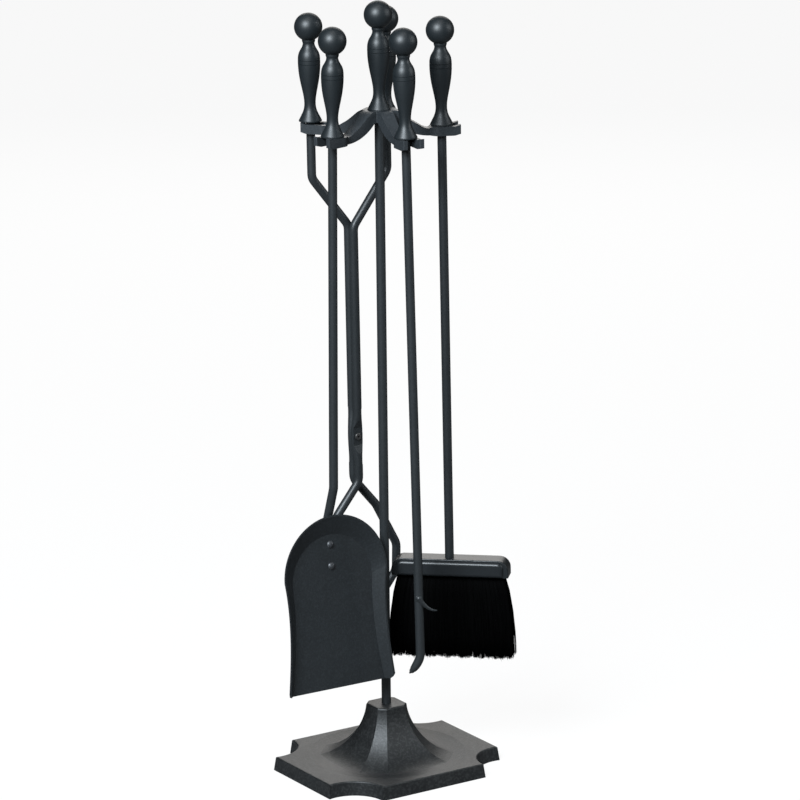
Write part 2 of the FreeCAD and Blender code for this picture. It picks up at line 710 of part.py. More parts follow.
def head_slab(length, depth, top, bottom, corner):
    """Slab with rounded upper corners, centred on the head."""
    half = length / 2
    bow = corner * (1 - math.sqrt(0.5))
    y = -depth / 2
    a, b = V(-half, y, bottom), V(-half, y, top - corner)
    c, d = V(-half + corner, y, top), V(half - corner, y, top)
    e, f = V(half, y, top - corner), V(half, y, bottom)
    outline = Part.Wire([Part.LineSegment(a, b).toShape(),
                         Part.Arc(b, V(-half + bow, y, top - bow), c).toShape(),
                         Part.LineSegment(c, d).toShape(),
                         Part.Arc(d, V(half - bow, y, top - bow), e).toShape(),
                         Part.LineSegment(e, f).toShape(),
                         Part.LineSegment(f, a).toShape()])
    return Part.Face(outline).extrude(V(0, depth, 0))


def head_cavity(gap):
    """Hollow of the cover, or the block that fills it when gap is positive."""
    bottom = brush_head_top - brush_head_height
    return head_slab(brush_head_length - 2 * brush_cover_wall - 2 * gap,
                     brush_core_depth - 2 * brush_cover_wall - 2 * gap,
                     brush_head_top - brush_cover_wall - gap, bottom - (1 if gap == 0 else 0),
                     brush_corner_round - brush_cover_wall)


def brush_head_cover():
    """Moulded cover: a rounded core with a raised panel on each long face, hollow underneath."""
    bottom = brush_head_top - brush_head_height
    core = head_slab(brush_head_length, brush_core_depth, brush_head_top, bottom, brush_corner_round)
    long_edges = [e for e in core.Edges if abs(abs(e.Vertexes[0].Y) - brush_core_depth / 2) < TINY
                  and abs(e.Vertexes[0].Y - e.Vertexes[-1].Y) < TINY
                  and max(v.Z for v in e.Vertexes) > bottom + 1]
    core = core.makeFillet(brush_edge_round, long_edges)
    panel_depth = brush_core_depth + 2 * brush_panel_proud
    panel = head_slab(brush_head_length - 2 * brush_panel_inset_end, panel_depth,
                      brush_head_top - brush_panel_inset_top, bottom, brush_panel_corner)
    rims = [e for e in panel.Edges if abs(e.Vertexes[0].Y - e.Vertexes[-1].Y) < TINY]
    panel = panel.makeFillet(brush_panel_round, rims)
    cover = fuse([core, panel]).cut(head_cavity(0))
    cover = cover.cut(cylinder(handle_thread / 2 + hole_clearance, bottom, brush_head_top + 1,
                               -brush_head_offset))
    return brush_place(cover)


def bristle_root_half():
    """Half length and half depth of the buried root of the bristle pack."""
    return bristle_half_length[0] - bristle_side_gap, bristle_half_depth[0] - 4 * bristle_side_gap


def brush_block():
    """Block inside the cover, with the bristle channel below and a pocket for the nut above."""
    bottom = brush_head_top - brush_head_height
    block = head_cavity(brush_block_gap)
    half_x, half_y = bristle_root_half()
    wide_x = half_x + bristle_side_gap
    wide_y = half_y + bristle_side_gap
    channel = Part.makeBox(2 * wide_x, 2 * wide_y, bristle_bury + 1, V(-wide_x, -wide_y, bottom - 1))
    top = brush_head_top - brush_cover_wall
    pocket = hex_prism(brush_nut_flats + 2 * nut_pocket_gap, top - brush_nut_thickness, top + 1,
                       -brush_head_offset)
    bore = cylinder(handle_thread / 2 + hole_clearance,
                    brush_head_top - brush_thread_length - hole_clearance, top, -brush_head_offset)
    return brush_place(block.cut(channel).cut(pocket).cut(bore))


def brush_nut():
    top = brush_head_top - brush_cover_wall
    nut = hex_prism(brush_nut_flats, top - brush_nut_thickness, top, -brush_head_offset)
    bore = cylinder(handle_thread / 2 + fit_clearance, 0, top + 1, -brush_head_offset)
    return brush_place(nut.cut(bore))


def brush_bristles():
    """Bristle pack: buried in the block's channel, and flared towards its free end."""
    bottom = brush_head_top - brush_head_height
    rings = []
    root_x, root_y = bristle_root_half()
    for z, half_x, half_y in ((bottom, root_x, root_y),
                              (brush_bristle_foot, bristle_half_length[1], bristle_half_depth[1])):
        corners = [V(-half_x, -half_y, z), V(half_x, -half_y, z),
                   V(half_x, half_y, z), V(-half_x, half_y, z)]
        rings.append(Part.makePolygon(corners + corners[:1]))
    tuft = Part.makeLoft(rings, True, True)
    root = Part.makeBox(2 * root_x, 2 * root_y, bristle_bury, V(-root_x, -root_y, bottom))
    return brush_place(fuse([tuft, root]))


def brush_rod():
    """Straight rod, threaded at both ends."""
    at = polar(*brush_at)
    shoulder = fork_top + hang_gap
    rod = fuse([threaded_top(at.x, at.y, shoulder),
                cylinder(rod_diameter / 2, brush_head_top, shoulder, at.x, at.y),
                cylinder(handle_thread / 2, brush_head_top - brush_thread_length, brush_head_top,
                         at.x, at.y)])
    return lean_tool(rod, at, brush_lean)


# ---- tongs --------------------------------------------------------------------------------------
def place_tongs(shape):
    """Lean the tongs about the middle of the place where they hang."""
    turned = shape.copy()
    turned.rotate(V(tongs_middle[0], tongs_middle[1], fork_top), V(0, 1, 0), -tongs_lean)
    return turned


def tongs_eye(side):
    """Flattened middle of an arm; side is -1 for the front arm and 1 for the back arm."""
    radius = tongs_rod / 2
    rod_y = tongs_stack / 2
    eye_y = (eye_gap + eye_thickness) / 2
    shoulder = (eye_reach / 2, eye_shoulder_half, radius, eye_shoulder_middle)
    upper = [(eye_reach, radius - swage_inset, radius - swage_inset, rod_y), shoulder]
    lower = [(-z, half_x, half_y, y) for z, half_x, half_y, y in reversed(upper)]
    stations = upper + [(0, eye_half_width, radius, eye_y)] + lower
    bar = swaged_bar([(z, half_x, half_y, side * y) for z, half_x, half_y, y in stations])
    far = eye_reach
    keep_out = Part.makeBox(2 * far, far, 4 * far, V(-far, eye_gap / 2 - far, -2 * far))
    face = eye_gap / 2 + eye_thickness
    flare = eye_flat_half + (far - face) * eye_flat_slope
    scallop = prism([V(-far, face, -eye_flat_half), V(-far, face, eye_flat_half), V(-far, far, flare),
                     V(-far, far, -flare)], V(2 * far, 0, 0))
    if side < 0:
        keep_out.rotate(V(0, 0, 0), UP, 180)
        scallop.rotate(V(0, 0, 0), UP, 180)
    bar = bar.cut(keep_out).cut(scallop)
    hole = Part.makeCylinder(pivot_pin_radius + fit_clearance, 2 * far, V(0, -far, 0), V(0, 1, 0))
    return bar.cut(hole)


def tongs_arm(side):
    """One arm: handle end, eye and jaw in one plane.  The front arm runs from right to left."""
    x_mid, y_mid = tongs_middle
    y = y_mid + side * tongs_stack / 2
    grip = -side
    radius = tongs_rod / 2
    shoulder = fork_top + tongs_rest

    def at(distance, z, hand):
        return V(x_mid + hand * distance, y, z)

    jaw_end_x = jaw_tip[0] - jaw_past * (jaw_turn[0] - jaw_tip[0])
    jaw_end_z = jaw_tip[1] - jaw_past * (jaw_turn[1] - jaw_tip[1])

    upper = round_bar([at(tongs_spread / 2, shoulder, grip), at(tongs_spread / 2, tongs_shoulder, grip),
                       at(0, tongs_gather, grip), at(0, tongs_pivot + eye_reach - overlap, grip)],
                      tongs_bend_round, radius)
    lower = round_bar([at(0, tongs_pivot - eye_reach + overlap, grip), at(0, tongs_part, grip),
                       at(*jaw_branch, -grip), at(*jaw_knee, -grip), at(*jaw_lower, -grip),
                       at(*jaw_turn, -grip), at(jaw_end_x, jaw_end_z, -grip)], jaw_bend_round, radius)
    weld = Part.makeBox(jaw_turn[0], tongs_rod, jaw_turn[0], V(-jaw_turn[0], -radius, -jaw_turn[0] / 2))
    weld.rotate(V(0, 0, 0), UP, 0 if grip < 0 else 180)
    weld.translate(at(jaw_tip[0], jaw_tip[1], -grip))
    lower = lower.cut(weld)
    eye = tongs_eye(side)
    eye.translate(V(x_mid, y_mid, tongs_pivot))
    top = threaded_top(x_mid + grip * tongs_spread / 2, y, shoulder)
    return place_tongs(fuse([top, upper, eye, lower]))


def tongs_paw(side):
    """Flat paw welded to the tip of a jaw."""
    x_mid, y_mid = tongs_middle
    paw = Part.makeBox(paw_thickness, paw_width, paw_length, V(0, -paw_width / 2, -paw_length / 2))
    paw = paw.makeFillet(paw_round, paw.Edges)
    paw.translate(V(jaw_tip[0] - paw_thickness, 0, jaw_tip[1]))
    if side < 0:
        paw.rotate(V(0, 0, 0), UP, 180)
    paw.translate(V(x_mid, y_mid + side * tongs_stack / 2, 0))
    return place_tongs(paw)


def tongs_handle(side):
    x = tongs_middle[0] - side * tongs_spread / 2
    y = tongs_middle[1] + side * tongs_stack / 2
    return place_tongs(handle(fork_top + tongs_rest, x, y))


def tongs_pivot_rivet():
    """Tubular rivet through both eyes."""
    half = eye_gap / 2 + eye_thickness + pivot_head_gap
    end = half + pivot_head_height
    along = V(0, 1, 0)
    pin = Part.makeCylinder(pivot_pin_radius, 2 * half, V(0, -half, 0), along)
    front = Part.makeCylinder(pivot_head_radius, pivot_head_height, V(0, -end, 0), along)
    back = Part.makeCylinder(pivot_head_radius, pivot_head_height, V(0, half, 0), along)
    rivet = fuse([pin, front, back])
    rims = [e for e in rivet.Edges if len(e.Vertexes) == 1 and abs(abs(e.Vertexes[0].Y) - end) < TINY]
    rivet = rivet.makeFillet(pivot_head_round, rims)
    rivet = rivet.cut(Part.makeCylinder(pivot_bore_radius, 2 * end, V(0, -end, 0), along))
    rivet.translate(V(tongs_middle[0], tongs_middle[1], tongs_pivot))
    return place_tongs(rivet)


def main():
    os.makedirs("parts", exist_ok=True)
    hang = fork_top + hang_gap
    shovel = polar(*shovel_at)
    poker = polar(*poker_at)
    brush = polar(*brush_at)
    save(base_casting(), "base_casting")
    save(post(), "post")
    save(base_washer(), "base_washer")
    save(base_nut(), "base_nut")
    save(rack_casting(), "rack_casting")
    save(handle(fork_top + hub_height), "stand_handle")
    save(lean_tool(handle(hang, shovel.x, shovel.y), shovel, shovel_lean), "shovel_handle")
    save(shovel_rod(), "shovel_rod")
    save(shovel_pan(), "shovel_pan")
    save(shovel_rivets(), "shovel_rivets")
    save(lean_tool(handle(hang, poker.x, poker.y), poker, poker_lean), "poker_handle")
    save(poker_rod(), "poker_rod")
    save(poker_barb(), "poker_barb")
    save(lean_tool(handle(hang, brush.x, brush.y), brush, brush_lean), "brush_handle")
    save(brush_rod(), "brush_rod")
    save(brush_head_cover(), "brush_head_cover")
    save(brush_block(), "brush_block")
    save(brush_nut(), "brush_nut")
    save(brush_bristles(), "brush_bristles")
    for side, name in ((-1, "front"), (1, "back")):
        save(tongs_arm(side), "tongs_" + name + "_arm")
        save(tongs_handle(side), "tongs_" + name + "_handle")
        save(tongs_paw(side), "tongs_" + name + "_paw")
    save(tongs_pivot_rivet(), "tongs_pivot_rivet")


main()
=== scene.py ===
"""Fireplace tool set: the finishes, the brush's bristles, a weld, the studio and the camera.

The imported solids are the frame.  They keep their shapes and get painted metal finishes.  The plain
bristle block is replaced by a pack of single fibres, and the poker's barb gets its weld bead.
Everything is in metres: +Z up, X along the base, the open face of the shovel towards -Y.
"""

import logging
import math
from dataclasses import dataclass
from enum import Enum
from typing import Any, Iterable, Sequence

import bpy
import numpy as np
from mathutils import Matrix, Vector


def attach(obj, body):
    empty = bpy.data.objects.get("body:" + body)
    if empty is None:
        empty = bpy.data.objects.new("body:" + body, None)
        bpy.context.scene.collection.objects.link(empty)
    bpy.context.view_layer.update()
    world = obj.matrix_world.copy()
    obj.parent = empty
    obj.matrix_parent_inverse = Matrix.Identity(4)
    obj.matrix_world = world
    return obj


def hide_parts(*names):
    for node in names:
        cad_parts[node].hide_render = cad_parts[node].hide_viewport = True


LOG = logging.getLogger("fire_tools")
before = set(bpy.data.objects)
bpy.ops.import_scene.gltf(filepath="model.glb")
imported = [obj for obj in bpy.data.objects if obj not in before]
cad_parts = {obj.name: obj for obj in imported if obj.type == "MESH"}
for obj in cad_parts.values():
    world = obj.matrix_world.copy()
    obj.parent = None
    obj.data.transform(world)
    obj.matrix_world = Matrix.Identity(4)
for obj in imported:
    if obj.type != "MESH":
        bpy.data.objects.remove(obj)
MM = 0.001

Colour = tuple[float, float, float]
Link = Any


# ---- shader building -----------------------------------------------------------------------------
class Wire:
    """One number output of a shader node, with the arithmetic of plain numbers."""

    def __init__(self, bench: "Bench", socket: Link) -> None:
        """Args:
            bench: the bench that owns the node.
            socket: the output socket.
        """
        self.bench = bench
        self.socket = socket

    def _maths(self, operation: str, *values: Any, clamp: bool = False) -> "Wire":
        """Add one Math node and return its output."""
        settings = {"operation": operation, "use_clamp": clamp}
        node = self.bench.node("ShaderNodeMath", settings, dict(enumerate(values)))
        return Wire(self.bench, node.outputs[0])

    def __add__(self, other: Any) -> "Wire":
        """Sum."""
        return self._maths("ADD", self, other)

    __radd__ = __add__

    def __sub__(self, other: Any) -> "Wire":
        """Difference."""
        return self._maths("SUBTRACT", self, other)

    def __mul__(self, other: Any) -> "Wire":
        """Product."""
        return self._maths("MULTIPLY", self, other)

    __rmul__ = __mul__

    def clamped(self) -> "Wire":
        """The same value, kept between 0 and 1."""
        return self._maths("ADD", self, 0.0, clamp=True)


class Bench:
    """The node tree of one material, with a Principled shader ready on it."""

    def __init__(self, name: str) -> None:
        """Args:
            name: name of the new material.
        """
        self.material = bpy.data.materials.new(name)
        self.material.use_nodes = True
        self.tree = self.material.node_tree
        self.tree.nodes.clear()
        self.out = self.tree.nodes.new("ShaderNodeOutputMaterial")
        self.shader = self.tree.nodes.new("ShaderNodeBsdfPrincipled")
        self.tree.links.new(self.shader.outputs[0], self.out.inputs["Surface"])
        self.place = self.tree.nodes.new("ShaderNodeTexCoord").outputs["Object"]

    def join(self, value: Any, socket: Link) -> None:
        """Set a socket to a number or colour, or link it to a wire or an output."""
        if isinstance(value, Wire):
            self.tree.links.new(value.socket, socket)
        elif isinstance(value, bpy.types.NodeSocket):
            self.tree.links.new(value, socket)
        else:
            socket.default_value = value

    def node(self, kind: str, settings: dict[str, Any], inputs: dict[Any, Any]) -> Link:
        """Add one node.

        Args:
            kind: Blender's type name of the node.
            settings: its properties; "ramp" holds the stops of a colour ramp.
            inputs: values or links of its sockets, by name or by number.

        Returns:
            The node.
        """
        made = self.tree.nodes.new(kind)
        for key, value in settings.items():
            if key == "ramp":
                self._ramp(made.color_ramp, value)
            else:
                setattr(made, key, value)
        for key, value in inputs.items():
            self.join(value, made.inputs[key])
        return made

    @staticmethod
    def _ramp(ramp: Link, stops: Sequence[tuple[float, float]]) -> None:
        """Give a colour ramp its grey stops, as (place, grey)."""
        while len(ramp.elements) < len(stops):
            ramp.elements.new(0.5)
        for element, (place, grey) in zip(ramp.elements, stops):
            element.position = place
            element.color = (grey, grey, grey, 1.0)

    def noise(self, size: float, detail: float = 2.0, rough: float = 0.5,
              stretch: Sequence[float] = (1.0, 1.0, 1.0)) -> Wire:
        """Noise over the object.

        Args:
            size: size of a lump, in metres.
            detail: number of finer octaves.
            rough: strength of the finer octaves.
            stretch: how much longer the lumps are along X, Y and Z.

        Returns:
            A wire around 0.5.
        """
        scale = tuple(1.0 / (size * s) for s in stretch)
        mapped = self.node("ShaderNodeMapping", {}, {"Vector": self.place, "Scale": scale})
        made = self.node("ShaderNodeTexNoise", {}, {
            "Vector": mapped.outputs[0], "Scale": 1.0, "Detail": detail, "Roughness": rough})
        return Wire(self, made.outputs["Fac"])

    def level(self, wire: Wire, stops: Sequence[tuple[float, float]]) -> Wire:
        """Pass a wire through a grey ramp."""
        made = self.node("ShaderNodeValToRGB", {"ramp": stops}, {"Fac": wire})
        return Wire(self, made.outputs["Color"])

    def blend(self, factor: Wire, first: Colour, second: Colour) -> Link:
        """Mix two colours and return the colour output."""
        made = self.node("ShaderNodeMix", {"data_type": "RGBA"}, {
            "Factor": factor, 6: (*first, 1.0), 7: (*second, 1.0)})
        return made.outputs[2]

    def bumps(self, *layers: tuple[Wire, float, float]) -> Link:
        """Chain of bump nodes.

        Args:
            layers: height wire, height of the relief in metres, and strength, coarse first.

        Returns:
            The last normal output.
        """
        normal = None
        for height, relief, strength in layers:
            inputs = {"Height": height, "Distance": relief, "Strength": strength}
            if normal is not None:
                inputs["Normal"] = normal
            normal = self.node("ShaderNodeBump", {}, inputs).outputs["Normal"]
        return normal

    def finish(self, **sockets: Any) -> Link:
        """Set the shader's sockets; underscores in the names stand for spaces.

        Returns:
            The material.
        """
        for key, value in sockets.items():
            self.join(value, self.shader.inputs[key.replace("_", " ")])
        return self.material


# ---- finishes ------------------------------------------------------------------------------------
@dataclass(frozen=True)
class GrainedPaint:
    """Satin black paint with a sandy grain, on iron or steel."""

    name: str
    dark: Colour
    light: Colour
    gloss_low: float           # roughness where the paint lies smoothest
    gloss_high: float          # roughness where it lies driest
    grain: float               # size of a grain, metres
    grain_height: float        # height of the grain, metres
    lump: float = 0.006        # size of the slow unevenness, metres
    lump_height: float = 0.00004
    specular: float = 0.5
    speckle: float = 0.35      # how far the light specks stand out

    def build(self) -> Link:
        """Mottled colour, uneven roughness, and grain over slow lumps.

        Returns:
            The material.
        """
        bench = Bench(self.name)
        grain = bench.noise(self.grain, 3.0, 0.62)
        lumps = bench.noise(self.lump, 2.0, 0.5)
        cloud = bench.noise(0.045, 3.0, 0.55)
        specks = bench.level(bench.noise(self.grain * 1.7, 1.0), ((0.46, 0.0), (0.66, 1.0)))
        mottle = (cloud * 0.4 + lumps * 0.2 + specks * self.speckle - 0.1).clamped()
        spread = self.gloss_high - self.gloss_low
        roughness = self.gloss_low + spread * (grain * 0.45 + cloud * 0.55)
        return bench.finish(
            Base_Color=bench.blend(mottle, self.dark, self.light),
            Roughness=roughness, Specular_IOR_Level=self.specular,
            Normal=bench.bumps((lumps, self.lump_height, 0.5), (grain, self.grain_height, 1.0)))


@dataclass(frozen=True)
class WornSteel:
    """Steel that shows in patches through a worn coat, as on a rivet; or zinc plate, nearly bare."""

    name: str
    paint: Colour
    metal: Colour
    bare: float                # share of the surface that is bare, roughly
    patch: float = 0.0011      # size of a bare patch, metres
    edge: float = 0.08         # half width of the change from paint to metal, in the patches' noise
    most_paint: float = 0.62   # noise level above which metal shows where nothing is worn
    wear: float = 0.3          # how far full wear lowers that level

    def build(self) -> Link:
        """Paint over metal, split by a patchy mask.

        Returns:
            The material.
        """
        bench = Bench(self.name)
        patches = bench.noise(self.patch, 3.0, 0.6)
        middle = self.most_paint - self.wear * self.bare
        mask = bench.level(patches, ((middle - self.edge, 0.0), (middle + self.edge, 1.0)))
        scratches = bench.noise(0.0004, 2.0, 0.5, (6.0, 1.0, 1.0))
        return bench.finish(
            Base_Color=bench.blend(mask, self.paint, self.metal), Metallic=mask,
            Roughness=0.32 + scratches * 0.25,
            Normal=bench.bumps((patches, 0.00003, 0.6), (scratches, 0.00001, 0.5)))


@dataclass(frozen=True)
class PlainWood:
    """Unfinished hardwood with straight grain along X."""

    name: str
    dark: Colour
    light: Colour

    def build(self) -> Link:
        """Long streaks with fine pores.

        Returns:
            The material.
        """
        bench = Bench(self.name)
        streaks = bench.noise(0.003, 4.0, 0.6, (14.0, 1.0, 1.0))
        pores = bench.noise(0.0006, 2.0, 0.5, (20.0, 1.0, 1.0))
        return bench.finish(
            Base_Color=bench.blend((streaks * 0.7 + pores * 0.3).clamped(), self.dark, self.light),
            Roughness=0.55 + pores * 0.3, Normal=bench.bumps((pores, 0.00005, 0.6)))


@dataclass(frozen=True)
class Fibre:
    """Black bristle fibre."""

    name: str
    dark: Colour
    light: Colour

    def build(self) -> Link:
        """Near black, a little lighter in streaks.

        Returns:
            The material.
        """
        bench = Bench(self.name)
        streaks = bench.noise(0.0012, 2.0, 0.5, (1.0, 1.0, 30.0))
        return bench.finish(Base_Color=bench.blend(streaks, self.dark, self.light),
                            Roughness=0.7 + streaks * 0.2, Specular_IOR_Level=0.03)


class Coat(Enum):
    """The finishes of the set, each with what it is made of."""

    CAST = GrainedPaint(
        "cast_black_paint", (0.004, 0.0045, 0.005), (0.026, 0.027, 0.027), gloss_low=0.36,
        gloss_high=0.58, grain=0.0013, grain_height=0.00030, lump=0.006, lump_height=0.00008,
        speckle=0.75)
    RACK = GrainedPaint(
        "rack_black_paint", (0.018, 0.021, 0.024), (0.038, 0.044, 0.049), gloss_low=0.36,
        gloss_high=0.50, grain=0.0009, grain_height=0.00005, lump=0.005, lump_height=0.00008)
    SHEET = GrainedPaint(
        "sheet_black_paint", (0.010, 0.012, 0.0135), (0.021, 0.025, 0.028), gloss_low=0.38,
        gloss_high=0.54, grain=0.0011, grain_height=0.00016, lump=0.010, lump_height=0.00005,
        speckle=0.55)
    ROD = GrainedPaint(
        "rod_black_paint", (0.014, 0.0165, 0.018), (0.028, 0.032, 0.035), gloss_low=0.36,
        gloss_high=0.50, grain=0.0006, grain_height=0.00003, lump=0.008, lump_height=0.00004)
    TURNED = GrainedPaint(
        "turned_black_paint", (0.006, 0.0085, 0.010), (0.012, 0.016, 0.019), gloss_low=0.42,
        gloss_high=0.50, grain=0.0005, grain_height=0.000005, lump=0.009, lump_height=0.00001)
    MOULDED = GrainedPaint(
        "brush_head_paint", (0.006, 0.0075, 0.009), (0.013, 0.016, 0.018), gloss_low=0.34,
        gloss_high=0.44, grain=0.0006, grain_height=0.00001, lump=0.012, lump_height=0.00004)
    WORN = WornSteel("pivot_worn_steel", (0.02, 0.02, 0.022), (0.17, 0.16, 0.15), 0.4)
    DOME = WornSteel("rivet_painted_steel", (0.02, 0.022, 0.024), (0.13, 0.13, 0.14), 0.15)
    ZINC = WornSteel("zinc_plate", (0.30, 0.31, 0.33), (0.60, 0.61, 0.63), 0.9)
    WOOD = PlainWood("block_hardwood", (0.12, 0.07, 0.035), (0.27, 0.17, 0.09))
    BRISTLE = Fibre("bristle_fibre_black", (0.0005, 0.0005, 0.0005), (0.0015, 0.0015, 0.0016))

    def material(self) -> Link:
        """The finish's material, made the first time it is asked for."""
        known = bpy.data.materials.get(self.value.name)
        return known or self.value.build()


# ---- mesh building -------------------------------------------------------------------------------
def mesh_object(name: str, points: np.ndarray, faces: np.ndarray | list[np.ndarray],
                coat: Coat) -> Link:
    """Make a smooth mesh piece from arrays.

    Args:
        name: name of the piece.
        points: (n, 3) places in metres.
        faces: (m, 3) or (m, 4) corner numbers, or a list of such arrays.
        coat: its finish.

    Returns:
        The object, linked to the scene, at the origin.
    """
    groups: list[np.ndarray] = faces if isinstance(faces, list) else [faces]
    mesh = bpy.data.meshes.new(name)
    mesh.from_pydata(points.tolist(), [], [f for g in groups for f in g.tolist()])
    mesh.polygons.foreach_set("use_smooth", np.ones(len(mesh.polygons), bool))
    mesh.materials.append(coat.material())
    mesh.update()
    made = bpy.data.objects.new(name, mesh)
    bpy.context.scene.collection.objects.link(made)
    return made


def ring_faces(rings: int, sides: int, closed: bool) -> np.ndarray:
    """Quads between neighbouring rings of a tube.

    Args:
        rings: number of rings.
        sides: points in a ring.
        closed: True where the last ring joins the first.

    Returns:
        (m, 4) corner numbers.
    """
    spans = rings if closed else rings - 1
    ring, side = np.meshgrid(np.arange(spans), np.arange(sides), indexing="ij")
    following = (ring + 1) % rings
    beside = (side + 1) % sides
    return np.stack([ring * sides + side, ring * sides + beside,
                     following * sides + beside, following * sides + side], -1).reshape(-1, 4)


@dataclass(frozen=True)
class Hang:
    """How a tool hangs: its place on the rack, and the lean about that place."""

    radius: float
    angle: float
    lean_x: float              # degrees, towards +X at the lower end
    lean_y: float              # degrees, towards +Y at the lower end
    height: float = 661.7 * MM

    def place(self) -> Vector:
        """The point where the rod passes its fork."""
        a = math.radians(self.angle)
        return Vector((self.radius * math.cos(a), self.radius * math.sin(a), self.height))

    def matrix(self) -> Matrix:
        """The lean, as a matrix about the fork."""
        at = self.place()
        about_y = Matrix.Rotation(math.radians(-self.lean_x), 4, "Y")
        about_x = Matrix.Rotation(math.radians(self.lean_y), 4, "X")
        return Matrix.Translation(at) @ about_x @ about_y @ Matrix.Translation(-at)

    def lean(self, points: np.ndarray) -> np.ndarray:
        """Lean an (n, 3) array of points with the tool."""
        turn = np.array(self.matrix())
        return points @ turn[:3, :3].T + turn[:3, 3]


# ---- brush ---------------------------------------------------------------------------------------
@dataclass
class BristlePack:
    """Fibres of the hearth brush, set in the head and flared to a ragged foot."""

    hang: Hang
    fibres: int = 7400
    sides: int = 3
    rings: int = 5
    root_height: float = 203.5 * MM
    foot_height: float = 115.5 * MM
    root_half: tuple[float, float] = (53.0 * MM, 5.4 * MM)
    foot_half: tuple[float, float] = (63.0 * MM, 10.6 * MM)
    head_offset: float = 1.5 * MM
    yaw: float = -43.0
    thickness: float = 0.56 * MM
    flare_power: float = 2.6   # above 1 the pack flares early and then runs straight down
    ragged: float = 1.9 * MM
    tuft_waves: tuple[float, float] = (23.0, 57.0)      # waves of the foot's edge, radians over half
    tuft_height: float = 0.35                           # height of those waves, in shares of ragged
    length_spread: float = 0.45                         # how much single fibres fall short, likewise
    foot_wander: tuple[float, float] = (0.9 * MM, 0.6 * MM)
    tip_share: float = 0.45                             # thickness at the tip, of that at the root
    thick_range: tuple[float, float] = (0.8, 1.15)
    seed: int = 11

    def _spread(self, random: np.random.Generator) -> np.ndarray:
        """Places of the fibres in the head, from -1 to 1 each way, with more near the faces.

        The depth is the sine of an even spread, which crowds it towards both faces.
        """
        along = random.uniform(-1.0, 1.0, self.fibres)
        depth = np.sin(random.uniform(-1.0, 1.0, self.fibres) * math.pi / 2)
        return np.stack([along, depth], -1)

    def _paths(self, random: np.random.Generator) -> np.ndarray:
        """Middle lines of the fibres: an early flare, plus a wander that grows as t squared.

        Returns:
            (fibres, rings, 3) places in the head's own frame.
        """
        spread = self._spread(random)
        t = np.linspace(0.0, 1.0, self.rings)[None, :, None]
        root = np.empty((self.fibres, 1, 3))
        root[:, 0, :2] = spread * self.root_half
        root[:, 0, 2] = self.root_height
        foot = np.empty((self.fibres, 1, 3))
        foot[:, 0, :2] = spread * self.foot_half
        slow, fast = self.tuft_waves
        waves = (np.sin(spread[:, 0] * slow) + np.sin(spread[:, 0] * fast + 1.3)) * self.tuft_height
        short = np.abs(random.normal(0.0, self.length_spread, self.fibres))
        foot[:, 0, 2] = self.foot_height + self.ragged * (waves - short + 0.2)
        wander = np.zeros((self.fibres, 1, 3))
        wander[:, 0, 0] = random.normal(0.0, self.foot_wander[0], self.fibres)
        wander[:, 0, 1] = random.normal(0.0, self.foot_wander[1], self.fibres)
        share = np.repeat(t, 3, axis=2)
        share[:, :, :2] = 1.0 - (1.0 - share[:, :, :2]) ** self.flare_power
        return root + (foot - root) * share + wander * t ** 2

    def build(self) -> Link:
        """Carry a small polygon down each path, thinning to the tip.

        Returns:
            The piece, which stands for the plain bristle block.
        """
        random = np.random.default_rng(self.seed)
        paths = self._paths(random)
        turn = random.uniform(0.0, 2 * math.pi, (self.fibres, 1, 1))
        corner = turn + np.arange(self.sides)[None, None, :] * 2 * math.pi / self.sides
        taper = np.linspace(1.0, self.tip_share, self.rings)[None, :, None]
        radius = self.thickness / 2 * taper * random.uniform(*self.thick_range, (self.fibres, 1, 1))
        points = np.repeat(paths[:, :, None, :], self.sides, 2)
        points[..., 0] += radius * np.cos(corner)
        points[..., 1] -= radius * np.sin(corner)
        each = self.rings * self.sides
        shift = np.arange(self.fibres)[:, None, None] * each
        tube = ring_faces(self.rings, self.sides, False)[None] + shift
        cap = np.arange(self.sides)
        roots = cap[::-1][None, None] + shift
        tips = (cap + each - self.sides)[None, None] + shift
        placed = self._placed(points.reshape(-1, 3))
        piece = mesh_object("bristle_fibres", placed, [tube.reshape(-1, 4),
                            roots.reshape(-1, self.sides), tips.reshape(-1, self.sides)], Coat.BRISTLE)
        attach(piece, "brush")
        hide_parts("brush_bristles")
        return piece

    def _placed(self, points: np.ndarray) -> np.ndarray:
        """Turn the head's own frame to its heading, and lean it with the tool."""
        a = math.radians(self.yaw)
        at = self.hang.place()
        x = points[:, 0] + self.head_offset
        y = points[:, 1]
        turned = np.stack([at.x + x * math.cos(a) - y * math.sin(a),
                           at.y + x * math.sin(a) + y * math.cos(a), points[:, 2]], -1)
        return self.hang.lean(turned)


# ---- welds ---------------------------------------------------------------------------------------
@dataclass
class WeldBead:
    """Small rippled bead of weld round the root of a piece that is welded on."""

    name: str
    body: str
    middle: Vector
    along: Vector              # direction in which the joint faces
    radius: float
    thick: float = 0.7 * MM
    ripples: int = 14
    swell: float = 0.16        # how much a ripple thickens the bead
    around: int = 56           # points round the ring
    across: int = 12           # points round the tube

    def build(self) -> Link:
        """Torus whose tube swells and shrinks round the ring, as the puddles of a weld do.

        Returns:
            The piece.
        """
        ring = np.linspace(0, 2 * math.pi, self.around, endpoint=False)[:, None]
        tube = np.linspace(0, 2 * math.pi, self.across, endpoint=False)[None, :]
        fat = self.thick * (1.0 + self.swell * np.sin(self.ripples * ring))
        reach = self.radius + fat * np.cos(tube)
        flat = np.stack([reach * np.cos(ring), reach * np.sin(ring),
                         fat * np.sin(tube) + 0 * ring], -1).reshape(-1, 3)
        turn = np.array(self.along.to_track_quat("Z", "Y").to_matrix())
        points = flat @ turn.T + np.array(self.middle)
        faces = ring_faces(self.around, self.across, True)[:, ::-1]
        piece = mesh_object(self.name, points, faces, Coat.ROD)
        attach(piece, self.body)
        return piece


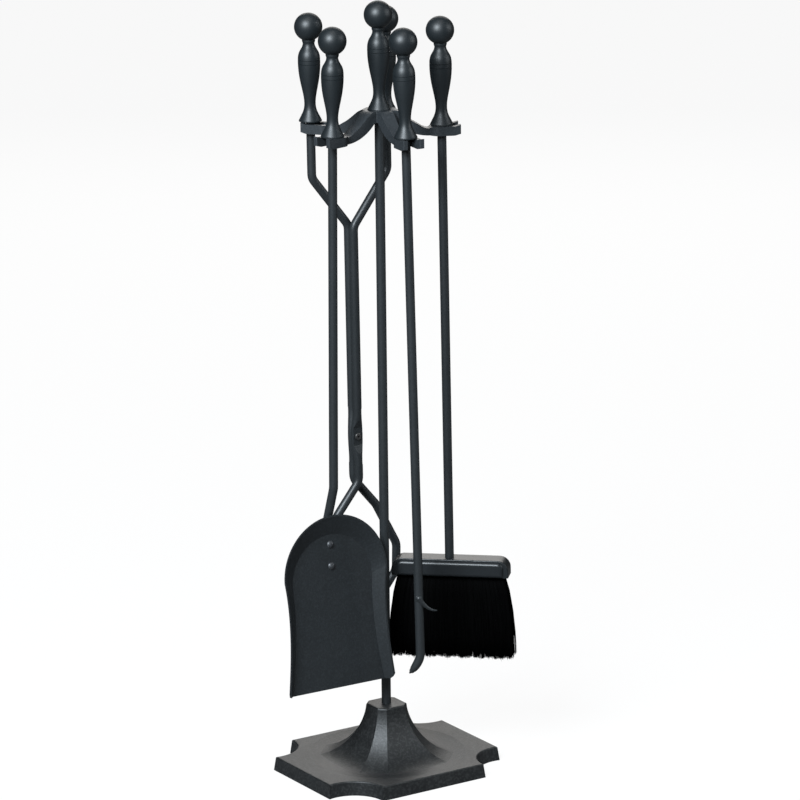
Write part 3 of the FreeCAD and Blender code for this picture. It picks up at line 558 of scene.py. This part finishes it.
# ---- the solids' finishes ------------------------------------------------------------------------
@dataclass
class Ironwork:
    """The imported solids, sorted by finish."""

    coats: tuple[tuple[Coat, tuple[str, ...]], ...] = (
        (Coat.CAST, ("base_casting",)),
        (Coat.RACK, ("rack_casting",)),
        (Coat.SHEET, ("shovel_pan",)),
        (Coat.ROD, ("post", "shovel_rod", "poker_rod", "poker_barb", "brush_rod",
                    "tongs_front_arm", "tongs_front_paw", "tongs_back_arm", "tongs_back_paw")),
        (Coat.TURNED, ("stand_handle", "shovel_handle", "poker_handle", "brush_handle",
                       "tongs_front_handle", "tongs_back_handle")),
        (Coat.MOULDED, ("brush_head_cover",)),
        (Coat.DOME, ("shovel_rivets",)),
        (Coat.WORN, ("tongs_pivot_rivet",)),
        (Coat.ZINC, ("base_washer", "base_nut", "brush_nut")),
        (Coat.WOOD, ("brush_block",)))

    def dress(self) -> None:
        """Put each node's finish in its material slots."""
        for coat, names in self.coats:
            for name in names:
                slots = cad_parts[name].data.materials
                slots.clear()
                slots.append(coat.material())
                LOG.info("%s wears %s", name, coat.value.name)


# ---- studio --------------------------------------------------------------------------------------
@dataclass(frozen=True)
class Softbox:
    """Square area light that looks at the set."""

    name: str
    towards: tuple[float, float, float]    # direction from the set to the light
    distance: float
    side: float
    watts: float
    colour: Colour = (1.0, 1.0, 1.0)
    aim: float = 0.40                      # height that it looks at, metres

    def build(self) -> None:
        """Hang the light; the camera doesn't see it."""
        data = bpy.data.lights.new(self.name, "AREA")
        data.size = self.side
        data.energy = self.watts
        data.color = self.colour
        lamp = bpy.data.objects.new(self.name, data)
        middle = Vector((0.0, 0.0, self.aim))
        out = Vector(self.towards).normalized()
        lamp.location = middle + out * self.distance
        lamp.rotation_mode = "QUATERNION"
        lamp.rotation_quaternion = out.to_track_quat("Z", "Y")
        lamp.visible_camera = False
        bpy.context.scene.collection.objects.link(lamp)


@dataclass
class Studio:
    """Pale floor, soft lights and a plain white surround that gives little light."""

    boxes: tuple[Softbox, ...] = (
        Softbox("key_softbox", (-0.69, -0.40, 0.60), 2.6, 1.1, 135.0, (0.84, 0.93, 1.0)),
        Softbox("right_softbox", (0.75, -0.60, 0.40), 3.0, 1.6, 27.0, (0.90, 0.96, 1.0)),
        Softbox("back_softbox", (0.55, 0.80, 0.42), 3.0, 2.0, 30.0, (1.0, 0.98, 0.95)),
        Softbox("top_softbox", (-0.1, -0.2, 1.0), 2.4, 1.2, 8.0))
    floor_half: float = 14.0
    surround: float = 0.03
    floor_seen: Colour = (0.92, 0.92, 0.92)
    floor_felt: Colour = (0.14, 0.14, 0.14)
    floor_glow: float = 0.93   # share of plain white in what the camera sees of the floor

    def build(self) -> None:
        """Floor, lights and surround."""
        self._floor()
        for box in self.boxes:
            box.build()
        self._world()
        view = bpy.context.scene.view_settings
        view.view_transform = "Standard"
        view.look = "None"

    def _floor(self) -> None:
        """One wide pale square, just under the base."""
        h = self.floor_half
        z = -0.1 * MM
        mesh = bpy.data.meshes.new("floor")
        mesh.from_pydata([(-h, -h, z), (h, -h, z), (h, h, z), (-h, h, z)], [], [(0, 1, 2, 3)])
        bench = Bench("pale_floor")
        mesh.materials.append(bench.finish(
            Roughness=0.75, Specular_IOR_Level=0.2))
        self._glow(bench)
        floor = bpy.data.objects.new("floor", mesh)
        bpy.context.scene.collection.objects.link(floor)

    def _glow(self, bench: Bench) -> None:
        """Let the camera see the floor mostly as plain white, and the set feel it as a darker one."""
        ray = bench.tree.nodes.new("ShaderNodeLightPath")
        camera = Wire(bench, ray.outputs["Is Camera Ray"])
        colour = bench.blend(camera, self.floor_felt, self.floor_seen)
        bench.join(colour, bench.shader.inputs["Base Color"])
        share = camera * self.floor_glow
        white = bench.node("ShaderNodeEmission", {}, {"Color": (1.0, 1.0, 1.0, 1.0), "Strength": 1.0})
        mix = bench.node("ShaderNodeMixShader", {}, {
            0: share, 1: bench.shader.outputs[0], 2: white.outputs[0]})
        bench.tree.links.new(mix.outputs[0], bench.out.inputs["Surface"])

    def _world(self) -> None:
        """Plain surround: white where the camera sees it, and almost dark as a source of light."""
        world = bpy.data.worlds.new("surround")
        world.use_nodes = True
        bpy.context.scene.world = world
        tree = world.node_tree
        tree.nodes.clear()
        out = tree.nodes.new("ShaderNodeOutputWorld")
        seen = tree.nodes.new("ShaderNodeBackground")
        felt = tree.nodes.new("ShaderNodeBackground")
        mix = tree.nodes.new("ShaderNodeMixShader")
        ray = tree.nodes.new("ShaderNodeLightPath")
        seen.inputs["Color"].default_value = (1.0, 1.0, 1.0, 1.0)
        felt.inputs["Color"].default_value = (1.0, 1.0, 1.0, 1.0)
        felt.inputs["Strength"].default_value = self.surround
        tree.links.new(ray.outputs["Is Camera Ray"], mix.inputs[0])
        tree.links.new(felt.outputs[0], mix.inputs[1])
        tree.links.new(seen.outputs[0], mix.inputs[2])
        tree.links.new(mix.outputs[0], out.inputs["Surface"])


@dataclass(frozen=True)
class Camera:
    """Camera in front of the set and to its left, looking slightly down through a long lens."""

    azimuth: float = -32.877
    elevation: float = 14.879
    roll: float = -0.641
    distance: float = 4.4316
    target: tuple[float, float, float] = (0.01452, -0.00939, 0.38470)
    lens: float = 200.06
    sensor: float = 36.0

    def build(self) -> None:
        """Place the camera on its sphere round the target, and roll it."""
        a = math.radians(self.azimuth)
        e = math.radians(self.elevation)
        back = Vector((math.sin(a) * math.cos(e), -math.cos(a) * math.cos(e), math.sin(e)))
        data = bpy.data.cameras.new("camera")
        data.lens = self.lens
        data.sensor_width = self.sensor
        data.clip_start = 0.1
        data.clip_end = 60.0
        camera = bpy.data.objects.new("camera", data)
        camera.rotation_mode = "QUATERNION"
        level = (-back).to_track_quat("-Z", "Y")
        turn = Matrix.Rotation(math.radians(self.roll), 3, "Z").to_quaternion()
        camera.rotation_quaternion = level @ turn
        camera.location = Vector(self.target) + back * self.distance
        bpy.context.scene.collection.objects.link(camera)
        bpy.context.scene.camera = camera


# ---- the set -------------------------------------------------------------------------------------
BRUSH = Hang(61.9 * MM, -24.5, 0.58, -0.10)
POKER = Hang(60.6 * MM, -97.8, 0.84, -0.55)
BARB_SIDE = -123.0             # the barb leaves this side of the poker rod, degrees
BARB_HEIGHT = 195.5 * MM       # height of its root
BARB_OUT = 3.8 * MM            # from the rod's axis to the middle of the bead


def barb_weld() -> WeldBead:
    """Weld where the barb leaves the front of the poker rod."""
    side = math.radians(BARB_SIDE)
    front = Vector((math.cos(side), math.sin(side), 0.0))
    at = POKER.place()
    root = Vector((at.x, at.y, BARB_HEIGHT)) + front * BARB_OUT
    leant = POKER.matrix() @ root
    return WeldBead("barb_weld", "poker", leant, front, 2.9 * MM, 0.55 * MM)


def report(pieces: Iterable[Link]) -> None:
    """Log the name and the face count of each piece."""
    for piece in pieces:
        LOG.info("%s: %d faces", piece.name, len(piece.data.polygons))


def main() -> None:
    """Dress the solids, add the new pieces, and set up the studio."""
    logging.basicConfig(level=logging.INFO, format="%(name)s: %(message)s")
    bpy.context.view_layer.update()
    Camera().build()
    Studio().build()
    Ironwork().dress()
    report([BristlePack(BRUSH).build(), barb_weld().build()])


if __name__ == "__main__":
    main()
